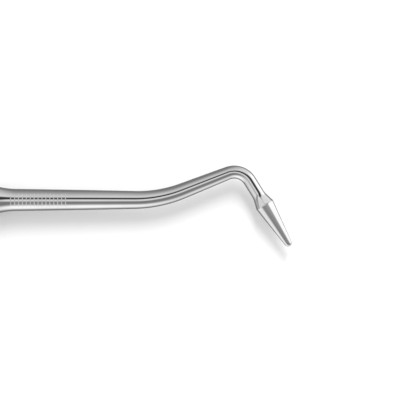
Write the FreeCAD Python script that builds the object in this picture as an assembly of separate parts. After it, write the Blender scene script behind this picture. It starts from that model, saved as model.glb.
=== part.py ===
import FreeCAD, Part
import math
import os

# Angled dental root elevator, lying on a facet of its octagonal handle.
# +X runs along the handle towards the blade, +Y is the side that the first bend turns to, +Z is up.
# The origin is the centre of the bottom facet of the handle. All sizes are in millimetres and degrees.

# Handle tube: a hollow octagonal bar with turned ends and grooves
handle_across_flats = 10.0
tube_length = 80.0
bore_radius = 3.9
tube_end_radius = 4.85
tube_end_chamfer_angle = 30.0
tube_corner_margin = 0.2

# Silicone grip rings in turned grooves, and the notches turned into the corners beside them
grip_ring_count = 6
grip_ring_pitch = 5.0
grip_ring_first_x = 5.5
grip_ring_width = 2.2
grip_groove_radius = 4.45
grip_ring_radius = 4.9
grip_ring_rounding = 0.3
corner_notch_radius = 5.08
corner_notch_width = 1.0
rear_notch_count = 4
rear_notch_pitch = 2.5
rear_notch_first_x = -28.0

# Working end, inside the handle: spigot, tang and the bush on the tang
spigot_length = 9.0
tang_radius = 1.75
tang_tail_x = 11.0
tang_tail_chamfer = 0.4
bush_length = 6.0
bush_offset_from_tail = 1.0
bush_chamfer = 0.3

# Cross pins through the tube, along Y
pin_radius = 1.0
pin_recess = 0.15
pin_chamfer = 0.15
front_pin_x = 34.5
rear_pin_x = -33.5

# Seal rings between the tube's bore and the parts pressed into it
seal_groove_radius = 2.9
seal_groove_width = 1.4
seal_ring_width = 1.2
seal_rounding = 0.25
seal_distance_from_tube_end = 1.8

# End plug
plug_spigot_length = 9.0
plug_head_radius = 4.8
plug_rim_length = 1.2
plug_dome_height = 2.6

# Collar in front of the tube, with the colour code ring
collar_radius = 4.8
collar_length = 3.2
collar_edge_chamfer = 0.15
code_groove_radius = 4.1
code_groove_width = 1.8
code_ring_radius = 4.7
code_ring_rounding = 0.25

# Trumpet from the collar to the shank, a concave arc tangent to the shank
trumpet_length = 8.9

# Shank: centreline corners, bends and taper
shank_start_radius = 2.6
neck_radius = 1.54
shank_to_bend_1 = 33.41
bend_1_angle = 21.4
bend_1_radius = 30.6
bend_1_to_bend_2 = 20.76
bend_2_angle = 79.7
bend_2_radius = 4.3
bend_2_to_shoulder = 10.35
taper_length = 51.0
taper_fullness = 0.33
section_spacing_straight = 3.0
section_turn = 6.0
clear_of_flare = 1.0

# Shoulder flare from the neck to the blade: an arc, then a straight cone, with two facets ground on top
# that meet in a ridge, and a small bevel from the ridge's end down to the blade
flare_length = 3.19
flare_arc_radius = 4.5
flare_outline_angle = 15.6
flare_sections = 9
shoulder_half_width = 2.27
shoulder_half_height = 2.18
facet_tilt = 18.0
facet_length = 2.39
facet_ridge_height = 2.09
facet_start_gap = 0.004
ridge_bevel_angle = 50.0
ridge_bevel_step = 0.07

# Blade: an oval cone with a domed tip that droops a little, a flat ground on top and a facet ground on
# one flank. The rolls are turns about the blade's own axis, of the oval and of the grinding.
blade_length = 11.29
blade_half_width = 2.25
tip_half_width = 0.92
blade_thickness_ratio = 0.8
oval_roll = 16.0
tip_drop = 0.42
blade_flat_height = 1.72
tip_flat_height = 0.685
side_facet_start = 0.84
side_facet_end = 0.33
side_facet_tilt = 35.0
grinding_roll = 4.0

# Lengths that follow from the ones above
axis_height = handle_across_flats / 2
tube_front_x = tube_length / 2
tube_rear_x = -tube_length / 2
collar_front_x = tube_front_x + collar_length
shank_start_x = collar_front_x + trumpet_length
octagon_sides = 8
octagon_turn = 360 / octagon_sides
corner_radius = handle_across_flats / 2 / math.cos(math.radians(octagon_turn / 2))
bend_1_tangent = bend_1_radius * math.tan(math.radians(bend_1_angle / 2))
bend_2_tangent = bend_2_radius * math.tan(math.radians(bend_2_angle / 2))

# Aids to modelling: how far a cutter reaches past what it cuts, and how big a flat cutter is
overcut = 1.0
cutter_size = 40.0
same_radius = 1e-6

x_axis = FreeCAD.Vector(1, 0, 0)
y_axis = FreeCAD.Vector(0, 1, 0)
z_axis = FreeCAD.Vector(0, 0, 1)


def turned(points):
    """A solid of revolution about the handle's axis, from (x, radius) corners."""
    corners = [FreeCAD.Vector(x, 0, axis_height + radius) for x, radius in points]
    face = Part.Face(Part.makePolygon(corners + corners[:1]))
    return face.revolve(FreeCAD.Vector(0, 0, axis_height), x_axis, 360)


def cylinder_x(x_low, x_high, radius):
    return Part.makeCylinder(radius, x_high - x_low, FreeCAD.Vector(x_low, 0, axis_height), x_axis)


def ring_x(x_middle, width, inner_radius, outer_radius):
    """A square-edged ring about the handle's axis."""
    outer = cylinder_x(x_middle - width / 2, x_middle + width / 2, outer_radius)
    inner = cylinder_x(x_middle - width, x_middle + width, inner_radius)
    return outer.cut(inner)


def elastic_ring(x_middle, width, inner_radius, outer_radius, rounding):
    """A silicone ring whose two outer edges are rounded."""
    ring = ring_x(x_middle, width, inner_radius, outer_radius)
    rims = [edge for edge in ring.Edges if is_circle(edge, outer_radius)]
    return ring.makeFillet(rounding, rims)


def is_circle(edge, radius):
    if not isinstance(edge.Curve, Part.Circle):
        return False
    return abs(edge.Curve.Radius - radius) < same_radius


# ---------------------------------------------------------------- handle tube

def octagon_bar(x_low, x_high):
    corners = []
    for corner in range(octagon_sides):
        angle = math.radians(octagon_turn * (corner + 0.5))
        y = corner_radius * math.cos(angle)
        z = axis_height + corner_radius * math.sin(angle)
        corners.append(FreeCAD.Vector(x_low, y, z))
    face = Part.Face(Part.makePolygon(corners + corners[:1]))
    return face.extrude(FreeCAD.Vector(x_high - x_low, 0, 0))


def turned_tube_envelope():
    """The turned outline that chamfers the octagon's corners at both ends."""
    outer = corner_radius + tube_corner_margin
    chamfer = (outer - tube_end_radius) / math.tan(math.radians(tube_end_chamfer_angle))
    return turned([
        (tube_rear_x, 0),
        (tube_rear_x, tube_end_radius),
        (tube_rear_x + chamfer, outer),
        (tube_front_x - chamfer, outer),
        (tube_front_x, tube_end_radius),
        (tube_front_x, 0),
    ])


def grip_ring_xs():
    return [grip_ring_first_x + grip_ring_pitch * index for index in range(grip_ring_count)]


def corner_notch_xs():
    between_rings = [x + grip_ring_pitch / 2 for x in grip_ring_xs()[:-1]]
    rear = [rear_notch_first_x + rear_notch_pitch * index for index in range(rear_notch_count)]
    return between_rings + rear


def handle_tube():
    tube = octagon_bar(tube_rear_x, tube_front_x).common(turned_tube_envelope())
    cuts = [cylinder_x(tube_rear_x - overcut, tube_front_x + overcut, bore_radius)]
    cuts.append(pin_hole(front_pin_x))
    cuts.append(pin_hole(rear_pin_x))
    for x in grip_ring_xs():
        cuts.append(ring_x(x, grip_ring_width, grip_groove_radius, corner_radius + overcut))
    for x in corner_notch_xs():
        cuts.append(ring_x(x, corner_notch_width, corner_notch_radius, corner_radius + overcut))
    return tube.cut(cuts)


# ---------------------------------------------------------------- pins, plug, bush and rings

def pin_hole(x):
    start = FreeCAD.Vector(x, -handle_across_flats, axis_height)
    return Part.makeCylinder(pin_radius, 2 * handle_across_flats, start, y_axis)


def cross_pin(x):
    half_length = handle_across_flats / 2 - pin_recess
    start = FreeCAD.Vector(x, -half_length, axis_height)
    pin = Part.makeCylinder(pin_radius, 2 * half_length, start, y_axis)
    rims = [edge for edge in pin.Edges if is_circle(edge, pin_radius)]
    return pin.makeChamfer(pin_chamfer, rims)


def seal_groove(x):
    return ring_x(x, seal_groove_width, seal_groove_radius, bore_radius + overcut)


def seal_ring(x):
    return elastic_ring(x, seal_ring_width, seal_groove_radius, bore_radius, seal_rounding)


def end_plug():
    """A spigot in the bore, a short rim and a domed head."""
    rim_x = tube_rear_x - plug_rim_length
    spigot = cylinder_x(tube_rear_x, tube_rear_x + plug_spigot_length, bore_radius)
    rim = cylinder_x(rim_x, tube_rear_x, plug_head_radius)
    dome_radius = (plug_head_radius ** 2 + plug_dome_height ** 2) / (2 * plug_dome_height)
    dome_centre = FreeCAD.Vector(rim_x - plug_dome_height + dome_radius, 0, axis_height)
    ball = Part.makeSphere(dome_radius, dome_centre)
    dome = ball.common(cylinder_x(rim_x - plug_dome_height - overcut, rim_x, plug_head_radius))
    plug = spigot.fuse([rim, dome]).removeSplitter()
    return plug.cut([pin_hole(rear_pin_x), seal_groove(rear_seal_x())])


def front_seal_x():
    return tube_front_x - seal_distance_from_tube_end


def rear_seal_x():
    return tube_rear_x + seal_distance_from_tube_end


def tang_bush():
    x_low = tang_tail_x + bush_offset_from_tail
    x_high = x_low + bush_length
    ring = turned([
        (x_low, tang_radius),
        (x_low, bore_radius - bush_chamfer),
        (x_low + bush_chamfer, bore_radius),
        (x_high - bush_chamfer, bore_radius),
        (x_high, bore_radius - bush_chamfer),
        (x_high, tang_radius),
    ])
    return ring


def code_ring_x():
    return tube_front_x + collar_length / 2


def colour_code_ring():
    return elastic_ring(
        code_ring_x(), code_groove_width, code_groove_radius, code_ring_radius, code_ring_rounding)


# ---------------------------------------------------------------- working end: inside the handle

def tang_and_spigot():
    tang = turned([
        (tang_tail_x, 0),
        (tang_tail_x, tang_radius - tang_tail_chamfer),
        (tang_tail_x + tang_tail_chamfer, tang_radius),
        (tube_front_x, tang_radius),
        (tube_front_x, 0),
    ])
    spigot = cylinder_x(tube_front_x - spigot_length, tube_front_x, bore_radius)
    cuts = [pin_hole(front_pin_x), seal_groove(front_seal_x())]
    return tang.fuse(spigot).cut(cuts)


def collar():
    """The land with the ring groove, and the trumpet that runs down to the shank."""
    edge_x = tube_front_x + collar_edge_chamfer
    rear_edge = (tube_front_x, collar_radius - collar_edge_chamfer)
    rise = collar_radius - shank_start_radius
    arc_radius = (trumpet_length ** 2 + rise ** 2) / (2 * rise)
    middle_x = shank_start_x - trumpet_length / 2
    middle_drop = math.sqrt(arc_radius ** 2 - (trumpet_length / 2) ** 2)
    middle_radius = shank_start_radius + arc_radius - middle_drop

    def corner(x, radius):
        return FreeCAD.Vector(x, 0, axis_height + radius)

    outline = [
        Part.LineSegment(corner(tube_front_x, 0), corner(*rear_edge)),
        Part.LineSegment(corner(*rear_edge), corner(edge_x, collar_radius)),
        Part.LineSegment(corner(edge_x, collar_radius), corner(collar_front_x, collar_radius)),
        Part.Arc(
            corner(collar_front_x, collar_radius),
            corner(middle_x, middle_radius),
            corner(shank_start_x, shank_start_radius)),
        Part.LineSegment(corner(shank_start_x, shank_start_radius), corner(shank_start_x, 0)),
        Part.LineSegment(corner(shank_start_x, 0), corner(tube_front_x, 0)),
    ]
    face = Part.Face(Part.Wire([piece.toShape() for piece in outline]))
    body = face.revolve(FreeCAD.Vector(0, 0, axis_height), x_axis, 360)
    groove = ring_x(code_ring_x(), code_groove_width, code_groove_radius, collar_radius + overcut)
    return body.cut(groove)


# ---------------------------------------------------------------- working end: shank

def shank_spans():
    """(length, curvature in 1/mm) of the centreline, from the trumpet to the shoulder."""
    arc_1 = bend_1_radius * math.radians(bend_1_angle)
    arc_2 = bend_2_radius * math.radians(bend_2_angle)
    return [
        (shank_to_bend_1 - bend_1_tangent, 0.0),
        (arc_1, 1 / bend_1_radius),
        (bend_1_to_bend_2 - bend_1_tangent - bend_2_tangent, 0.0),
        (arc_2, -1 / bend_2_radius),
        (bend_2_to_shoulder - bend_2_tangent, 0.0),
    ]


def centreline(station):
    """The point and the heading, in radians, at a distance along the centreline."""
    x = shank_start_x
    y = 0.0
    heading = 0.0
    left = station
    for length, curvature in shank_spans():
        step = min(left, length)
        if curvature:
            turned_heading = heading + step * curvature
            x += (math.sin(turned_heading) - math.sin(heading)) / curvature
            y -= (math.cos(turned_heading) - math.cos(heading)) / curvature
            heading = turned_heading
        else:
            x += step * math.cos(heading)
            y += step * math.sin(heading)
        left -= step
    x += left * math.cos(heading)
    y += left * math.sin(heading)
    return FreeCAD.Vector(x, y, axis_height), heading


def shank_radius(station):
    """The taper: a gentle bulged cone down to the neck."""
    share = min(station / taper_length, 1.0)
    return neck_radius + (shank_start_radius - neck_radius) * (1 - share) * (1 + taper_fullness * share)


def oval(station, half_width, half_height):
    """An upright ellipse across the centreline: half_width in the bend plane, half_height along Z."""
    point, heading = centreline(station)
    direction = FreeCAD.Vector(math.cos(heading), math.sin(heading), 0)
    across = FreeCAD.Vector(-math.sin(heading), math.cos(heading), 0)
    wire = Part.Wire(Part.Ellipse(FreeCAD.Vector(0, 0, 0), half_width, half_height).toShape())
    wire.transformShape(FreeCAD.Matrix(
        across.x, z_axis.x, direction.x, point.x,
        across.y, z_axis.y, direction.y, point.y,
        across.z, z_axis.z, direction.z, point.z,
        0, 0, 0, 1))
    return wire


def disc_section(station):
    radius = shank_radius(station)
    return oval(station, radius, radius)


def shank_stations():
    """Section places: wide apart on straight runs, one every few degrees in the bends."""
    stations = [0.0]
    start = 0.0
    for length, curvature in shank_spans():
        if curvature:
            parts = math.ceil(math.degrees(length * abs(curvature)) / section_turn)
        else:
            parts = math.ceil(length / section_spacing_straight)
        stations += [start + length * index / parts for index in range(1, parts + 1)]
        start += length
    return stations


def shoulder_station():
    return sum(length for length, curvature in shank_spans())


def shank_and_flare_blank():
    """One smooth skin from the trumpet to the shoulder, before the facets are ground."""
    flare_start = shoulder_station() - flare_length
    last_disc = flare_start - clear_of_flare
    sections = [disc_section(station) for station in shank_stations() if station < last_disc]
    for index in range(flare_sections):
        place = flare_length * (index / (flare_sections - 1) - 1)
        sections.append(oval(shoulder_station() + place, *flare_size(place)))
    return Part.makeLoft(sections, True, False)


# ---------------------------------------------------------------- working end: shoulder and blade

def half_space(point, normal):
    """A large box on the side of a plane that the normal points to."""
    box = Part.makeBox(cutter_size, cutter_size, cutter_size)
    box.translate(FreeCAD.Vector(-cutter_size / 2, -cutter_size / 2, 0))
    box.Placement = FreeCAD.Placement(point, FreeCAD.Rotation(z_axis, normal)).multiply(box.Placement)
    return box


def upward(normal):
    """The same plane's normal, on its upper side."""
    return normal if normal.z > 0 else normal * -1


def blade_frame():
    """The shoulder's centre, the direction to the tip, and the direction across the blade."""
    point, heading = centreline(shoulder_station())
    direction = FreeCAD.Vector(math.cos(heading), math.sin(heading), 0)
    across = FreeCAD.Vector(-math.sin(heading), math.cos(heading), 0)
    return point, direction, across


def blade_point(along, across, height):
    point, direction, sideways = blade_frame()
    return point + direction * along + sideways * across + z_axis * height


def flare_growth(along):
    """How far the flare's outline has grown, from 0 at the neck to 1 at the shoulder."""
    angle = math.radians(flare_outline_angle)
    arc_length = flare_arc_radius * math.sin(angle)

    def rise(distance):
        on_arc = min(distance, arc_length)
        arc_rise = flare_arc_radius - math.sqrt(flare_arc_radius ** 2 - on_arc ** 2)
        return arc_rise + (distance - on_arc) * math.tan(angle)

    return rise(flare_length + along) / rise(flare_length)


def flare_size(along):
    """Half width and half height of the flare's oval, at a distance from the shoulder."""
    growth = flare_growth(along)
    half_width = neck_radius + (shoulder_half_width - neck_radius) * growth
    half_height = neck_radius + (shoulder_half_height - neck_radius) * growth
    return half_width, half_height


def roof_facet(side):
    """Everything above one of the two facets that meet in a ridge on top of the flare."""
    tilt = math.radians(facet_tilt)
    half_width, half_height = flare_size(-facet_length)
    reach = math.hypot(half_width * math.sin(tilt), half_height * math.cos(tilt))
    start_height = (reach + facet_start_gap) / math.cos(tilt)
    ridge_start = blade_point(-facet_length, 0, start_height)
    ridge_end = blade_point(0, 0, facet_ridge_height)
    sideways = blade_frame()[2]
    down_the_side = sideways * (side * math.cos(tilt)) - z_axis * math.sin(tilt)
    return half_space(ridge_end, upward(down_the_side.cross(ridge_end - ridge_start)))


def roof_cutters():
    """Both facets' cutters, which start where the facets leave the round flare."""
    ahead_of_facets = half_space(blade_point(-facet_length, 0, 0), blade_frame()[1])
    return [roof_facet(side).common(ahead_of_facets) for side in (1, -1)]


def ridge_bevel():
    """Everything above the small bevel that ends the ridge at the blade's flat."""
    direction = blade_frame()[1]
    angle = math.radians(ridge_bevel_angle)
    normal = direction * math.sin(angle) + z_axis * math.cos(angle)
    return half_space(blade_point(0, 0, blade_flat_height + ridge_bevel_step), normal)


def shank_and_flare():
    behind_shoulder = half_space(blade_point(-flare_length, 0, 0), blade_frame()[1])
    bevel = ridge_bevel().common(behind_shoulder)
    return shank_and_flare_blank().cut(roof_cutters() + [bevel])


def dome_start():
    """Where the straight cone ends and the domed tip starts."""
    return blade_length - tip_half_width


def round_blank():
    """A round cone with a ball end, along X from the origin."""
    straight = dome_start()
    slant = math.sqrt(0.5) * tip_half_width
    root = FreeCAD.Vector(0, 0, 0)
    root_edge = FreeCAD.Vector(0, 0, blade_half_width)
    ball_edge = FreeCAD.Vector(straight, 0, tip_half_width)
    ball_middle = FreeCAD.Vector(straight + slant, 0, slant)
    tip = FreeCAD.Vector(blade_length, 0, 0)
    outline = [
        Part.LineSegment(root, root_edge),
        Part.LineSegment(root_edge, ball_edge),
        Part.Arc(ball_edge, ball_middle, tip),
        Part.LineSegment(tip, root),
    ]
    face = Part.Face(Part.Wire([piece.toShape() for piece in outline]))
    return face.revolve(root, x_axis, 360)


def blade_blank():
    """The round blank flattened to a rolled oval, with a drooping axis, in place at the shoulder."""
    point, direction, sideways = blade_frame()
    roll = math.radians(oval_roll)
    along = direction - z_axis * (tip_drop / dome_start())
    across = sideways * math.cos(roll) + z_axis * math.sin(roll)
    thick = (z_axis * math.cos(roll) - sideways * math.sin(roll)) * blade_thickness_ratio
    return round_blank().transformGeometry(FreeCAD.Matrix(
        along.x, across.x, thick.x, point.x,
        along.y, across.y, thick.y, point.y,
        along.z, across.z, thick.z, point.z,
        0, 0, 0, 1))


def blade():
    """The blank, ground with the flat on top and the side facet."""
    point, direction = blade_frame()[:2]
    cutters = [blade_flat(), side_facet()]
    for cutter in cutters:
        cutter.rotate(point, direction, grinding_roll)
    return blade_blank().cut(cutters)


def blade_flat():
    """Everything above the flat on top of the blade."""
    near = blade_point(0, 0, blade_flat_height)
    far = blade_point(dome_start(), 0, tip_flat_height - tip_drop)
    sideways = blade_frame()[2]
    return half_space(near, upward(sideways.cross(far - near)))


def side_facet():
    """Everything outside the facet on one flank, from the edge of the flat down to the side."""
    near = blade_point(0, side_facet_start, blade_flat_height)
    far = blade_point(dome_start(), side_facet_end, tip_flat_height - tip_drop)
    tilt = math.radians(side_facet_tilt)
    sideways = blade_frame()[2]
    down_the_side = sideways * math.cos(tilt) - z_axis * math.sin(tilt)
    return half_space(near, upward(down_the_side.cross(far - near)))


def working_end():
    return tang_and_spigot().fuse([collar(), shank_and_flare(), blade()])


# ---------------------------------------------------------------- export

def export(name, shape):
    solids = shape.Solids
    if len(solids) != 1 or not shape.isValid():
        raise ValueError(name + " is not one valid solid")
    solids[0].exportStep("parts/" + name + ".step")


os.makedirs("parts", exist_ok=True)
export("working_end", working_end())
export("handle_tube", handle_tube())
export("tang_bush", tang_bush())
export("end_plug", end_plug())
export("front_cross_pin", cross_pin(front_pin_x))
export("rear_cross_pin", cross_pin(rear_pin_x))
export("front_seal_ring", seal_ring(front_seal_x()))
export("rear_seal_ring", seal_ring(rear_seal_x()))
export("colour_code_ring", colour_code_ring())
for number, ring_place in enumerate(grip_ring_xs(), start=1):
    ring = elastic_ring(
        ring_place, grip_ring_width, grip_groove_radius, grip_ring_radius, grip_ring_rounding)
    export("grip_ring_" + str(number), ring)
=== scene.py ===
import math

import bpy
from mathutils import Euler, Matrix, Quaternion, Vector


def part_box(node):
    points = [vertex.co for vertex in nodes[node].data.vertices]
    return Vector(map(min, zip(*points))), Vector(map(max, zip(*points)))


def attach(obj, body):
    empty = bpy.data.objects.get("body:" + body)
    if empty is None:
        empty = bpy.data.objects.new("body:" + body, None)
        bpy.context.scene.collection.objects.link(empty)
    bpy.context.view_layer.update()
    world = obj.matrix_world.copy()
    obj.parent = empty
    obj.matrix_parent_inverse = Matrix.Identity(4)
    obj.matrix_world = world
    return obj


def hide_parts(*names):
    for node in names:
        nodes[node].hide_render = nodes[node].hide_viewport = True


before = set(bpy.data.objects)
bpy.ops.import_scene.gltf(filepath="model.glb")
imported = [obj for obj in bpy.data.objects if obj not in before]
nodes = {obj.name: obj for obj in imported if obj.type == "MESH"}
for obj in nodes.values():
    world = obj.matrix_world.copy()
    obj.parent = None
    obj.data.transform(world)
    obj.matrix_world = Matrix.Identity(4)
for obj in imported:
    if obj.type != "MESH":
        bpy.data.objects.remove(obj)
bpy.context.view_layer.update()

MM = 0.001
scene = bpy.context.scene

# Places on the object, worked out from the frame
tube_low, tube_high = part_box("handle_tube")
AXIS_HEIGHT = (tube_low.z + tube_high.z) / 2
TUBE_FRONT = tube_high.x


# ---------------------------------------------------------------- node helpers

def add(tree, kind, **settings):
    """A new shader node, with its properties and its named or numbered inputs set."""
    inputs = settings.pop("inputs", {})
    node = tree.nodes.new(kind)
    for name, value in settings.items():
        setattr(node, name, value)
    for name, value in inputs.items():
        feed(tree, node.inputs[name], value)
    return node


def feed(tree, socket, value):
    """Links an output to a socket, or sets the socket's own value."""
    if isinstance(value, bpy.types.NodeSocket):
        tree.links.new(value, socket)
    else:
        socket.default_value = value


def maths(tree, operation, *values):
    node = add(tree, "ShaderNodeMath", operation=operation)
    for socket, value in zip(node.inputs, values):
        feed(tree, socket, value)
    return node.outputs[0]


def ramp(tree, value, low, high, to_low=0.0, to_high=1.0):
    """value from low..high is spread over to_low..to_high, and held at the ends."""
    node = add(tree, "ShaderNodeMapRange", interpolation_type="SMOOTHSTEP")
    for name, given in (("Value", value), ("From Min", low), ("From Max", high),
                        ("To Min", to_low), ("To Max", to_high)):
        feed(tree, node.inputs[name], given)
    return node.outputs["Result"]


def blend_colour(tree, factor, first, second):
    node = add(tree, "ShaderNodeMix", data_type="RGBA")
    feed(tree, node.inputs[0], factor)
    feed(tree, node.inputs[6], first)
    feed(tree, node.inputs[7], second)
    return node.outputs[2]


def grey(level):
    return (level, level, level, 1.0)


# ---------------------------------------------------------------- studio

# What polished steel mirrors: soft oval cards in the studio, laid out by direction.
# Each has its centre in degrees from the zenith (towards +X, towards +Y), its half sizes in degrees,
# its turn in degrees, the softness of its edge and its brightness. Later ones lie over earlier ones.
STUDIO_BASE = 0.95
STUDIO_CARDS = (
    # the wall behind: dark, and mirrored on the shank's rear flank
    ("back_wall", (-60, 110), (100, 70), 40, 0.6, 0.25),
    # the wall on the left: grey
    ("left_wall", (-120, -50), (40, 60), 0, 0.5, 0.5),
    # two bright windows, low down: one in front, one on the right
    ("front_window", (-30, -80), (40, 25), 0, 0.5, 1.3),
    ("right_window", (80, 40), (35, 30), 0, 0.4, 1.5),
    # unlit parts of the ceiling, between the camera and the windows
    ("left_gap", (-50, -10), (40, 10), 10, 0.5, 0.35),
    ("front_gap", (10, -35), (35, 25), -25, 0.7, 0.25),
    ("right_gap", (55, -50), (50, 10), -70, 0.4, 0.1),
    # the camera and what holds it: the black line along the shank
    ("camera_gap", (15, 15), (30, 15), 0, 0.4, 0.05),
    # lit ceiling that shows between the gaps: the light line beside the black one
    ("left_ceiling", (-35, 5), (15, 10), 0, 0.4, 1.0),
    ("near_ceiling", (0, -5), (15, 10), 0, 0.4, 0.9),
)
# The ground: its brightness, and the angles from the zenith where it starts and where it is full
GROUND_LEVEL = 0.25
GROUND_START = 100.0
GROUND_FULL = 130.0
# What matt surfaces and the camera see in place of the cards
AMBIENT = 0.95
SURROUND = 1.0


def direction_in_degrees(tree):
    """The looking direction as a flat chart: its angle from the zenith, laid out towards its heading."""
    direction = add(tree, "ShaderNodeTexCoord").outputs["Generated"]
    parts = add(tree, "ShaderNodeSeparateXYZ", inputs={0: direction})
    angle = maths(tree, "DEGREES", maths(tree, "ARCCOSINE", parts.outputs["Z"]))
    flat = add(tree, "ShaderNodeCombineXYZ", inputs={0: parts.outputs["X"], 1: parts.outputs["Y"]})
    heading = add(tree, "ShaderNodeVectorMath", operation="NORMALIZE", inputs={0: flat.outputs[0]})
    chart = add(tree, "ShaderNodeVectorMath", operation="SCALE", inputs={
        0: heading.outputs[0], "Scale": angle})
    return chart.outputs[0], angle


def studio_card(tree, chart, below, name, centre, half_size, turn, softness, level):
    """One soft-edged oval card laid over what is below it."""
    place = add(tree, "ShaderNodeMapping", label=name, vector_type="TEXTURE", inputs={
        "Vector": chart,
        "Location": (centre[0], centre[1], 0),
        "Rotation": (0, 0, math.radians(turn)),
        "Scale": (half_size[0], half_size[1], 1),
    })
    reach = add(tree, "ShaderNodeVectorMath", operation="LENGTH", inputs={0: place.outputs[0]})
    mask = ramp(tree, reach.outputs["Value"], 1 + softness, 1 - softness)
    return blend_colour(tree, mask, below, grey(level))


def make_world():
    world = bpy.data.worlds.new("studio")
    world.use_nodes = True
    tree = world.node_tree
    tree.nodes.clear()
    chart, angle = direction_in_degrees(tree)
    seen = grey(STUDIO_BASE)
    for card in STUDIO_CARDS:
        seen = studio_card(tree, chart, seen, *card)
    ground = ramp(tree, angle, GROUND_START, GROUND_FULL)
    seen = blend_colour(tree, ground, seen, grey(GROUND_LEVEL))
    path = add(tree, "ShaderNodeLightPath")
    plain = blend_colour(tree, path.outputs["Is Camera Ray"], grey(AMBIENT), grey(SURROUND))
    shown = blend_colour(tree, path.outputs["Is Glossy Ray"], plain, seen)
    background = add(tree, "ShaderNodeBackground", inputs={"Color": shown, "Strength": 1.0})
    output = add(tree, "ShaderNodeOutputWorld")
    tree.links.new(background.outputs[0], output.inputs["Surface"])
    scene.world = world


# The key light is a soft oval panel above and behind the instrument: it throws the shadow towards -Y.
# Its power is in watts, its lengths in metres and its angles in degrees.
KEY_POWER = 26.5
KEY_DISTANCE = 2.0
KEY_TILT = 42.0
KEY_LEAN = 5.0
KEY_WIDTH = 0.5
KEY_HEIGHT = 1.3


def make_key_light():
    lamp = bpy.data.lights.new("key", "AREA")
    lamp.shape = "ELLIPSE"
    lamp.size = KEY_WIDTH
    lamp.size_y = KEY_HEIGHT
    lamp.energy = KEY_POWER
    key = bpy.data.objects.new("key", lamp)
    turn = Euler((-math.radians(KEY_TILT), math.radians(KEY_LEAN), 0))
    key.rotation_euler = turn
    aim = Vector((VIEW_LEFT + VIEW_WIDTH / 2, 0, 0))
    key.location = aim + turn.to_matrix() @ Vector((0, 0, KEY_DISTANCE))
    key.visible_glossy = False
    scene.collection.objects.link(key)


FLOOR_SIZE = 4.0
FLOOR_COLOUR = 0.85


def make_floor():
    mesh = bpy.data.meshes.new("floor")
    half = FLOOR_SIZE / 2
    corners = [(-half, -half, 0), (half, -half, 0), (half, half, 0), (-half, half, 0)]
    mesh.from_pydata(corners, [], [(0, 1, 2, 3)])
    floor = bpy.data.objects.new("floor", mesh)
    material = bpy.data.materials.new("floor_paper")
    material.use_nodes = True
    shader = material.node_tree.nodes["Principled BSDF"]
    shader.inputs["Base Color"].default_value = grey(FLOOR_COLOUR)
    shader.inputs["Roughness"].default_value = 1.0
    shader.inputs["Specular IOR Level"].default_value = 0.0
    mesh.materials.append(material)
    floor.visible_glossy = False
    scene.collection.objects.link(floor)


# The camera looks straight down. The view is 94.1 mm wide at the handle's axis, and its left edge is
# about 8 mm in front of the tube, inside the trumpet.
VIEW_WIDTH = 94.1 * MM
VIEW_LEFT = TUBE_FRONT + 7.98 * MM
VIEW_CENTRE_Y = -0.01 * MM
LENS = 135.0
SENSOR = 36.0
CLIP_NEAR = 0.01
CLIP_FAR = 20.0


def make_camera():
    data = bpy.data.cameras.new("camera")
    data.lens = LENS
    data.sensor_width = SENSOR
    data.clip_start = CLIP_NEAR
    data.clip_end = CLIP_FAR
    camera = bpy.data.objects.new("camera", data)
    distance = VIEW_WIDTH * LENS / SENSOR
    camera.location = (VIEW_LEFT + VIEW_WIDTH / 2, VIEW_CENTRE_Y, AXIS_HEIGHT + distance)
    scene.collection.objects.link(camera)
    scene.camera = camera


# ---------------------------------------------------------------- working end: its shape

# The working end's sizes, as in the CAD. Here it gets a finer skin than the CAD's mesh, so that the
# studio's cards run along the polished steel in clean lines. Lengths are in millimetres and angles in
# degrees. A profile is a row of (place along X, radius), a bend is (angle, radius of its centre line),
# and a size is (half width, half height).
TANG_PROFILE = ((11.0, 0.0), (11.0, 1.35), (11.4, 1.75), (31.0, 1.75), (31.0, 3.9), (37.5, 3.9), (37.5, 2.9),
                (38.9, 2.9), (38.9, 3.9), (40.0, 3.9))
COLLAR_PROFILE = ((40.0, 4.65), (40.15, 4.8), (40.7, 4.8), (40.7, 4.1), (42.5, 4.1), (42.5, 4.8), (43.2, 4.8))
TRUMPET_START = 43.2
SHANK_START = 52.1
TRUMPET_START_RADIUS = 4.8
SHANK_START_RADIUS = 2.6
NECK_RADIUS = 1.54
TAPER_LENGTH = 51.0
TAPER_FULLNESS = 0.33
BEND_1 = (21.4, 30.6)
BEND_2 = (79.7, 4.3)
CORNER_DISTANCES = (33.41, 20.76, 10.35)
FLARE_LENGTH = 3.19
FLARE_ARC_RADIUS = 4.5
FLARE_ANGLE = 15.6
SHOULDER_SIZE = (2.27, 2.18)
ROOF_TILT = 18.0
ROOF_LENGTH = 2.39
ROOF_RIDGE_HEIGHT = 2.09
BEVEL_ANGLE = 50.0
BEVEL_HEIGHT = 1.79
BLADE_LENGTH = 11.29
BLADE_SIZE = (2.25, 1.8)
TIP_SIZE = (0.92, 0.736)
FLAT_HEIGHTS = (1.72, 0.685)
SIDE_STARTS = (0.84, 0.33)
SIDE_TILT = 35.0
GRINDING_ROLL = 4.0
OVAL_ROLL = 16.0
TIP_DROP = 0.42
FLAT_SOFTNESS = 0.12
EDGE_SOFTNESS = 0.02

# How fine the skin is: points on a ring, and the steps from one ring to the next
RING_POINTS = 256
TRUMPET_STEP = 0.4
SHANK_STEP = 0.6
BEND_STEP = 1.5
FLARE_STEP = 0.06
BLADE_STEP = 0.1
DOME_STEPS = 16
LAST_DOME_STEP_SHARE = 0.2
LEAST_RADIUS = 0.001
LEAST_FACING = 0.02
SHARP_ANGLE = 28.0

UP = Vector((0, 0, 1))


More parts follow.
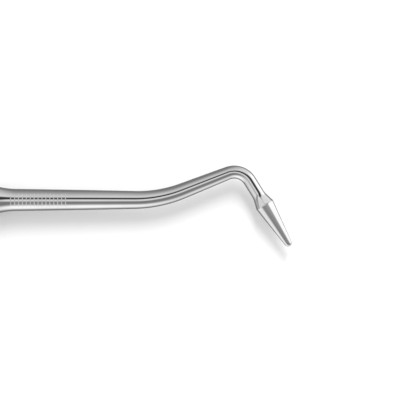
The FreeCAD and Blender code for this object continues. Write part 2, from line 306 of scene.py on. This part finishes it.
def shank_spans():
    """(length, curvature) of the shank's centre line: straight, bend, straight, bend, straight."""
    (angle_1, radius_1), (angle_2, radius_2) = BEND_1, BEND_2
    tangent_1 = radius_1 * math.tan(math.radians(angle_1 / 2))
    tangent_2 = radius_2 * math.tan(math.radians(angle_2 / 2))
    first, second, third = CORNER_DISTANCES
    return (
        (first - tangent_1, 0.0),
        (radius_1 * math.radians(angle_1), 1 / radius_1),
        (second - tangent_1 - tangent_2, 0.0),
        (radius_2 * math.radians(angle_2), -1 / radius_2),
        (third - tangent_2, 0.0),
    )


SPANS = shank_spans()
SHOULDER = sum(length for length, curvature in SPANS)


def centreline(station):
    """The point and the two level directions, along and across, at a distance along the centre line."""
    x, y, heading, left = SHANK_START, 0.0, 0.0, station
    for length, curvature in SPANS:
        step = min(left, length)
        after = heading + step * curvature
        if curvature:
            x += (math.sin(after) - math.sin(heading)) / curvature
            y -= (math.cos(after) - math.cos(heading)) / curvature
        else:
            x += step * math.cos(heading)
            y += step * math.sin(heading)
        heading = after
        left -= step
    along = Vector((math.cos(heading), math.sin(heading), 0))
    across = Vector((-math.sin(heading), math.cos(heading), 0))
    return Vector((x, y, AXIS_HEIGHT / MM)) + along * left, along, across


def steps(start, end, spacing):
    """Evenly spaced places after start, up to end."""
    count = max(1, math.ceil((end - start) / spacing))
    return [start + (end - start) * index / count for index in range(1, count + 1)]


def softer_of(first, second, softness):
    """The smaller of two lengths, with a rounded change-over."""
    overlap = max(softness - abs(first - second), 0.0)
    return min(first, second) - overlap * overlap / (4 * softness)


def section(centre, across, half_width, half_height, lift=0.0, roll=0.0, cuts=()):
    """One ring of points: an oval across the centre line, ground down by the planes in cuts."""
    points = []
    turn = math.radians(roll)
    for index in range(RING_POINTS):
        angle = 2 * math.pi * index / RING_POINTS
        outward = across * math.cos(angle) + UP * math.sin(angle)
        own = angle - turn
        reach = 1 / math.hypot(math.cos(own) / half_width, math.sin(own) / half_height)
        for plane_point, normal, softness in cuts:
            facing = outward.dot(normal)
            if facing > LEAST_FACING:
                to_plane = (plane_point - centre - UP * lift).dot(normal) / facing
                reach = softer_of(reach, to_plane, softness)
        points.append(centre + UP * lift + outward * reach)
    return points


def turned_ring(x, radius):
    size = max(radius, LEAST_RADIUS)
    return section(Vector((x, 0, AXIS_HEIGHT / MM)), Vector((0, 1, 0)), size, size)


def trumpet_radius(x):
    """The concave arc from the collar, tangent to the shank."""
    length = SHANK_START - TRUMPET_START
    rise = TRUMPET_START_RADIUS - SHANK_START_RADIUS
    arc_radius = (length ** 2 + rise ** 2) / (2 * rise)
    return SHANK_START_RADIUS + arc_radius - math.sqrt(arc_radius ** 2 - (SHANK_START - x) ** 2)


def shank_radius(station):
    share = min(station / TAPER_LENGTH, 1.0)
    return NECK_RADIUS + (SHANK_START_RADIUS - NECK_RADIUS) * (1 - share) * (1 + TAPER_FULLNESS * share)


def flare_rise(distance):
    angle = math.radians(FLARE_ANGLE)
    on_arc = min(distance, FLARE_ARC_RADIUS * math.sin(angle))
    arc_rise = FLARE_ARC_RADIUS - math.sqrt(FLARE_ARC_RADIUS ** 2 - on_arc ** 2)
    return arc_rise + (distance - on_arc) * math.tan(angle)


def flare_size(place):
    """Half width and half height of the flare, at a place measured from the shoulder."""
    growth = flare_rise(FLARE_LENGTH + place) / flare_rise(FLARE_LENGTH)
    return tuple(NECK_RADIUS + (size - NECK_RADIUS) * growth for size in SHOULDER_SIZE)


def blade_point(along, across, height):
    point, forward, sideways = centreline(SHOULDER)
    return point + forward * along + sideways * across + UP * height


def upper_side(normal):
    return normal if normal.z > 0 else -normal


def roof_cut(side):
    """One of the two facets that meet in a ridge on top of the flare."""
    tilt = math.radians(ROOF_TILT)
    half_width, half_height = flare_size(-ROOF_LENGTH)
    reach = math.hypot(half_width * math.sin(tilt), half_height * math.cos(tilt))
    ridge_start = blade_point(-ROOF_LENGTH, 0, reach / math.cos(tilt))
    ridge_end = blade_point(0, 0, ROOF_RIDGE_HEIGHT)
    sideways = centreline(SHOULDER)[2]
    down_the_side = sideways * (side * math.cos(tilt)) - UP * math.sin(tilt)
    normal = upper_side(down_the_side.cross(ridge_end - ridge_start)).normalized()
    return ridge_end, normal, EDGE_SOFTNESS


def bevel_cut():
    """The small bevel that ends the ridge at the blade's flat."""
    forward = centreline(SHOULDER)[1]
    angle = math.radians(BEVEL_ANGLE)
    normal = forward * math.sin(angle) + UP * math.cos(angle)
    return blade_point(0, 0, BEVEL_HEIGHT), normal, EDGE_SOFTNESS


def rolled(vector):
    """A direction turned about the blade's own axis."""
    return Quaternion(centreline(SHOULDER)[1], math.radians(GRINDING_ROLL)) @ vector


def blade_cuts():
    """The flat on top of the blade and the facet on one flank."""
    start = blade_point(0, 0, 0)
    straight = BLADE_LENGTH - TIP_SIZE[0]
    sideways = centreline(SHOULDER)[2]
    near = blade_point(0, 0, FLAT_HEIGHTS[0])
    far = blade_point(straight, 0, FLAT_HEIGHTS[1] - TIP_DROP)
    flat = upper_side(sideways.cross(far - near)).normalized()
    side_near = blade_point(0, SIDE_STARTS[0], FLAT_HEIGHTS[0])
    side_far = blade_point(straight, SIDE_STARTS[1], FLAT_HEIGHTS[1] - TIP_DROP)
    tilt = math.radians(SIDE_TILT)
    down_the_side = sideways * math.cos(tilt) - UP * math.sin(tilt)
    side = upper_side(down_the_side.cross(side_far - side_near)).normalized()
    return (
        (start + rolled(near - start), rolled(flat), FLAT_SOFTNESS),
        (start + rolled(side_near - start), rolled(side), EDGE_SOFTNESS),
    )


def blade_rings():
    rings = []
    cuts = blade_cuts()
    straight = BLADE_LENGTH - TIP_SIZE[0]
    for place in [0.0] + steps(0.0, straight, BLADE_STEP):
        share = place / straight
        point, _, across = centreline(SHOULDER + place)
        width, height = (a + (b - a) * share for a, b in zip(BLADE_SIZE, TIP_SIZE))
        rings.append(section(point, across, width, height, -TIP_DROP * share, OVAL_ROLL, cuts))
    for index in range(1, DOME_STEPS + 1):
        angle = math.pi / 2 * index / (DOME_STEPS + LAST_DOME_STEP_SHARE)
        place = straight + TIP_SIZE[0] * math.sin(angle)
        point, _, across = centreline(SHOULDER + place)
        width, height = (size * math.cos(angle) for size in TIP_SIZE)
        rings.append(section(point, across, width, height, -TIP_DROP * place / straight, OVAL_ROLL, cuts))
    return rings


def flare_rings():
    rings = []
    roof = [roof_cut(1), roof_cut(-1)]
    for place in steps(-FLARE_LENGTH, 0.0, FLARE_STEP):
        point, _, across = centreline(SHOULDER + place)
        cuts = roof + [bevel_cut()] if place > -ROOF_LENGTH else []
        rings.append(section(point, across, *flare_size(place), cuts=cuts))
    return rings


def shank_rings():
    rings = []
    start = 0.0
    for length, curvature in SPANS:
        spacing = SHANK_STEP
        if curvature:
            spacing = min(SHANK_STEP, math.radians(BEND_STEP) / abs(curvature))
        for station in steps(start, start + length, spacing):
            if station < SHOULDER - FLARE_LENGTH:
                point, _, across = centreline(station)
                rings.append(section(point, across, shank_radius(station), shank_radius(station)))
        start += length
    return rings


def working_end_rings():
    rings = [turned_ring(x, radius) for x, radius in TANG_PROFILE + COLLAR_PROFILE]
    rings += [turned_ring(x, trumpet_radius(x)) for x in steps(TRUMPET_START, SHANK_START, TRUMPET_STEP)]
    return rings + shank_rings() + flare_rings() + blade_rings()


def make_working_end():
    rings = working_end_rings()
    points = [point * MM for ring in rings for point in ring]
    faces = []
    for ring in range(len(rings) - 1):
        low, high = ring * RING_POINTS, (ring + 1) * RING_POINTS
        for index in range(RING_POINTS):
            after = (index + 1) % RING_POINTS
            faces.append((low + index, low + after, high + after, high + index))
    faces.append(tuple(reversed(range(RING_POINTS))))
    faces.append(tuple(range(len(points) - RING_POINTS, len(points))))
    mesh = bpy.data.meshes.new("steel_working_end")
    mesh.from_pydata(points, [], faces)
    mesh.shade_smooth()
    mesh.set_sharp_from_angle(angle=math.radians(SHARP_ANGLE))
    piece = bpy.data.objects.new("steel_working_end", mesh)
    scene.collection.objects.link(piece)
    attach(piece, "root")
    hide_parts("working_end")
    return piece


# ---------------------------------------------------------------- materials

def new_material(name):
    material = bpy.data.materials.new(name)
    material.use_nodes = True
    tree = material.node_tree
    shader = tree.nodes["Principled BSDF"]
    place = add(tree, "ShaderNodeTexCoord").outputs["Object"]
    return material, tree, shader, place


def noise(tree, place, scale, detail=3.0, stretch=(1, 1, 1)):
    """Noise in the object's own space; scale is in features per metre."""
    mapped = add(tree, "ShaderNodeMapping", inputs={"Vector": place, "Scale": stretch})
    return add(tree, "ShaderNodeTexNoise", inputs={
        "Vector": mapped.outputs[0], "Scale": scale, "Detail": detail, "Roughness": NOISE_ROUGHNESS,
    }).outputs["Fac"]


NOISE_ROUGHNESS = 0.5
# Where most of the noise lies
NOISE_LOW = 0.3
NOISE_HIGH = 0.7
EDGE_SAMPLES = 4

# A plain row of etched ticks across the top of the shank, next to the trumpet
ETCHING_START = 50.8 * MM
ETCHING_END = 63.6 * MM
ETCHING_COUNT = 14
ETCHING_WIDTH = 0.2 * MM
ETCHING_CENTRE_Y = -0.15 * MM
ETCHING_HALF_LENGTH = 1.6 * MM
ETCHING_SOFTNESS = 0.04 * MM


def inside(tree, value, half, softness):
    """1 where a value is nearer to zero than half, 0 beyond it."""
    return ramp(tree, maths(tree, "ABSOLUTE", value), half + softness, half - softness)


def etched_ticks(tree, place):
    """A mask of the ticks, from the steel's own coordinates."""
    parts = add(tree, "ShaderNodeSeparateXYZ", inputs={0: place})
    middle = (ETCHING_START + ETCHING_END) / 2
    half_row = (ETCHING_END - ETCHING_START) / 2
    pitch = (ETCHING_END - ETCHING_START) / ETCHING_COUNT
    along = maths(tree, "SUBTRACT", parts.outputs["X"], ETCHING_START)
    from_tick = maths(tree, "WRAP", along, pitch / 2, -pitch / 2)
    tick = inside(tree, from_tick, ETCHING_WIDTH / 2, ETCHING_SOFTNESS)
    from_middle = maths(tree, "SUBTRACT", parts.outputs["X"], middle)
    row = inside(tree, from_middle, half_row + ETCHING_WIDTH, ETCHING_SOFTNESS)
    across = maths(tree, "SUBTRACT", parts.outputs["Y"], ETCHING_CENTRE_Y)
    length = inside(tree, across, ETCHING_HALF_LENGTH, ETCHING_SOFTNESS)
    upper = maths(tree, "GREATER_THAN", parts.outputs["Z"], AXIS_HEIGHT)
    return maths(tree, "MULTIPLY", maths(tree, "MULTIPLY", tick, row), maths(tree, "MULTIPLY", length, upper))


def mottled(tree, value, to_low, to_high):
    """Noise spread over a range of numbers."""
    return ramp(tree, value, NOISE_LOW, NOISE_HIGH, to_low, to_high)


def mottled_colour(tree, value, colours):
    """Noise spread over a pair of colours."""
    return blend_colour(tree, ramp(tree, value, NOISE_LOW, NOISE_HIGH), *colours)


def bumps(tree, shader, height, strength, depth, edge_radius=0.0):
    """Fine relief on a surface, over edges that are rounded for the light only."""
    inputs = {"Strength": strength, "Distance": depth, "Height": height}
    if edge_radius:
        edges = add(tree, "ShaderNodeBevel", samples=EDGE_SAMPLES, inputs={"Radius": edge_radius})
        inputs["Normal"] = edges.outputs[0]
    feed(tree, shader.inputs["Normal"], add(tree, "ShaderNodeBump", inputs=inputs).outputs[0])


# Polished steel: cloudy colour, smudges and a fine grain in its polish
POLISHED_COLOURS = ((0.70, 0.70, 0.705, 1), (0.74, 0.74, 0.745, 1))
POLISHED_CLOUDS = 120.0
POLISHED_GRAIN = 3000.0
GRAIN_STRETCH = (0.2, 1, 1)
POLISHED_SMUDGES = 260.0
SMUDGE_RANGE = (0.35, 0.75)
SMUDGE_ROUGHNESS = (0.03, 0.07)
GRAIN_ROUGHNESS = 0.02
ETCHED_COLOUR = (0.86, 0.86, 0.865, 1)
ETCHED_ROUGHNESS = 0.5
POLISHED_RELIEF = 0.02
POLISHED_EDGE = 0.05 * MM
RELIEF_DEPTH = 0.01 * MM


def polished_steel():
    material, tree, shader, place = new_material("polished_steel")
    shader.inputs["Metallic"].default_value = 1.0
    clouds = noise(tree, place, POLISHED_CLOUDS)
    etched = etched_ticks(tree, place)
    clean = mottled_colour(tree, clouds, POLISHED_COLOURS)
    feed(tree, shader.inputs["Base Color"], blend_colour(tree, etched, clean, ETCHED_COLOUR))
    grain = noise(tree, place, POLISHED_GRAIN, stretch=GRAIN_STRETCH)
    smudges = noise(tree, place, POLISHED_SMUDGES, detail=5.0)
    smudged = ramp(tree, smudges, *SMUDGE_RANGE, *SMUDGE_ROUGHNESS)
    polish = maths(tree, "ADD", smudged, mottled(tree, grain, 0.0, GRAIN_ROUGHNESS))
    rough = maths(tree, "ADD", polish, ramp(tree, etched, 0, 1, 0, ETCHED_ROUGHNESS))
    feed(tree, shader.inputs["Roughness"], rough)
    bumps(tree, shader, grain, POLISHED_RELIEF, RELIEF_DEPTH, POLISHED_EDGE)
    return material


# Satin steel: brushed along X, a little brighter and smoother where its edges are worn
SATIN_COLOURS = ((0.60, 0.60, 0.605, 1), (0.70, 0.70, 0.705, 1))
SATIN_LINES = 6000.0
LINE_STRETCH = (0.03, 1, 1)
SATIN_CLOUDS = 150.0
SATIN_ROUGHNESS = (0.20, 0.28)
LINE_ROUGHNESS = 0.08
SATIN_RELIEF = 0.15
SATIN_EDGE = 0.08 * MM
WORN_COLOUR = (0.78, 0.78, 0.785, 1)
WORN_SMOOTHER_BY = 0.12
WEAR_RADIUS = 0.3 * MM
WEAR_SAMPLES = 8
WEAR_AGREEMENT = (0.995, 0.95)
WEAR_PATCHES = 700.0
WEAR_PATCH_RANGE = (0.35, 0.6)
LEAST_WEAR = 0.3


def worn_edges(tree, rounded):
    """Near 1 along edges and corners, where a rounded normal differs from the surface's own."""
    own = add(tree, "ShaderNodeNewGeometry").outputs["Normal"]
    agreement = add(tree, "ShaderNodeVectorMath", operation="DOT_PRODUCT", inputs={0: rounded, 1: own})
    return ramp(tree, agreement.outputs["Value"], *WEAR_AGREEMENT)


def satin_steel():
    material, tree, shader, place = new_material("satin_steel")
    shader.inputs["Metallic"].default_value = 1.0
    lines = noise(tree, place, SATIN_LINES, stretch=LINE_STRETCH)
    clouds = noise(tree, place, SATIN_CLOUDS, detail=4.0)
    wide_edges = add(tree, "ShaderNodeBevel", samples=WEAR_SAMPLES, inputs={"Radius": WEAR_RADIUS})
    patches = noise(tree, place, WEAR_PATCHES, detail=4.0)
    patchy = ramp(tree, patches, *WEAR_PATCH_RANGE, LEAST_WEAR, 1.0)
    worn = maths(tree, "MULTIPLY", worn_edges(tree, wide_edges.outputs[0]), patchy)
    brushed = mottled_colour(tree, lines, SATIN_COLOURS)
    feed(tree, shader.inputs["Base Color"], blend_colour(tree, worn, brushed, WORN_COLOUR))
    cloudy = mottled(tree, clouds, *SATIN_ROUGHNESS)
    rough = maths(tree, "ADD", cloudy, mottled(tree, lines, 0.0, LINE_ROUGHNESS))
    smoother = maths(tree, "SUBTRACT", rough, ramp(tree, worn, 0, 1, 0, WORN_SMOOTHER_BY))
    feed(tree, shader.inputs["Roughness"], smoother)
    bumps(tree, shader, lines, SATIN_RELIEF, RELIEF_DEPTH, SATIN_EDGE)
    return material


# Silicone: matt and cloudy, with a fine grain
DARK_SILICONE = ((0.035, 0.037, 0.04, 1), (0.055, 0.058, 0.062, 1))
CODE_SILICONE = ((0.05, 0.13, 0.30, 1), (0.07, 0.17, 0.36, 1))
SILICONE_GRAIN = 9000.0
SILICONE_CLOUDS = 400.0
SILICONE_ROUGHNESS = (0.48, 0.62)
SILICONE_RELIEF = 0.25
SILICONE_DEPTH = 0.02 * MM
SILICONE_SPECULAR = 0.4


def silicone(name, colours):
    material, tree, shader, place = new_material(name)
    grain = noise(tree, place, SILICONE_GRAIN, detail=2.0)
    clouds = noise(tree, place, SILICONE_CLOUDS, detail=4.0)
    feed(tree, shader.inputs["Base Color"], mottled_colour(tree, clouds, colours))
    feed(tree, shader.inputs["Roughness"], mottled(tree, clouds, *SILICONE_ROUGHNESS))
    shader.inputs["Specular IOR Level"].default_value = SILICONE_SPECULAR
    bumps(tree, shader, grain, SILICONE_RELIEF, SILICONE_DEPTH)
    return material


# The bush: a pale machined polymer, with turning marks round its axis
BUSH_COLOURS = ((0.50, 0.45, 0.37, 1), (0.58, 0.53, 0.45, 1))
BUSH_CLOUDS = 300.0
BUSH_MARKS = 5000.0
MARK_STRETCH = (1, 0.05, 0.05)
BUSH_ROUGHNESS = (0.4, 0.55)


def bush_polymer():
    material, tree, shader, place = new_material("bush_polymer")
    clouds = noise(tree, place, BUSH_CLOUDS)
    marks = noise(tree, place, BUSH_MARKS, stretch=MARK_STRETCH)
    feed(tree, shader.inputs["Base Color"], mottled_colour(tree, clouds, BUSH_COLOURS))
    feed(tree, shader.inputs["Roughness"], mottled(tree, marks, *BUSH_ROUGHNESS))
    return material


def dress(names, material):
    for name in names:
        slots = nodes[name].data.materials
        slots.clear()
        slots.append(material)


make_camera()
make_world()
make_key_light()
make_floor()

GRIP_RINGS = sorted(name for name in nodes if name.startswith("grip_ring_"))
polished = polished_steel()
make_working_end().data.materials.append(polished)
dress(["end_plug", "front_cross_pin", "rear_cross_pin"], polished)
dress(["handle_tube"], satin_steel())
dress(GRIP_RINGS + ["front_seal_ring", "rear_seal_ring"], silicone("dark_silicone", DARK_SILICONE))
dress(["colour_code_ring"], silicone("code_silicone", CODE_SILICONE))
dress(["tang_bush"], bush_polymer())

scene.view_settings.view_transform = "Standard"
